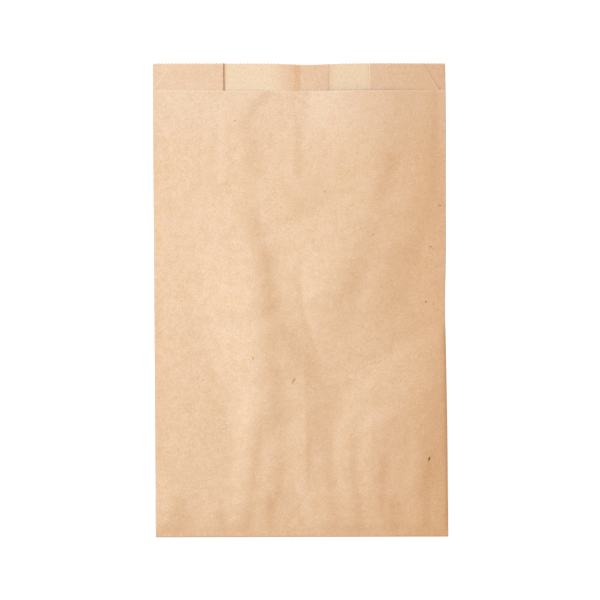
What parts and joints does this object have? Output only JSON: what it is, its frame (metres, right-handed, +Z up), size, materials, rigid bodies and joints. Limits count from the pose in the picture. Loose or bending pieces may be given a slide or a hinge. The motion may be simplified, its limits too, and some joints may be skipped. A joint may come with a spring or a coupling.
{
  "type": "paper lunch bag",
  "caption": "Flat-folded brown kraft paper bag with side gussets, toothed mouth, stepped lip, pasted back seam and a turned-over pasted bottom.",
  "frame": {"origin": "centre of the footprint of the bag, on the surface it lies on", "axes": "+Z up out of the front panel, +Y along the length from the closed bottom to the mouth, +X to the right of somebody looking down on the front"},
  "size_m": [0.182, 0.2916, 0.0045],
  "materials": {
    "kraft_paper": "uncoated matte kraft, light brown, with faint fibres and mottling"
  },
  "bodies": {
    "root": {"paper_bag": "kraft_paper"}
  },
  "joints": []
}
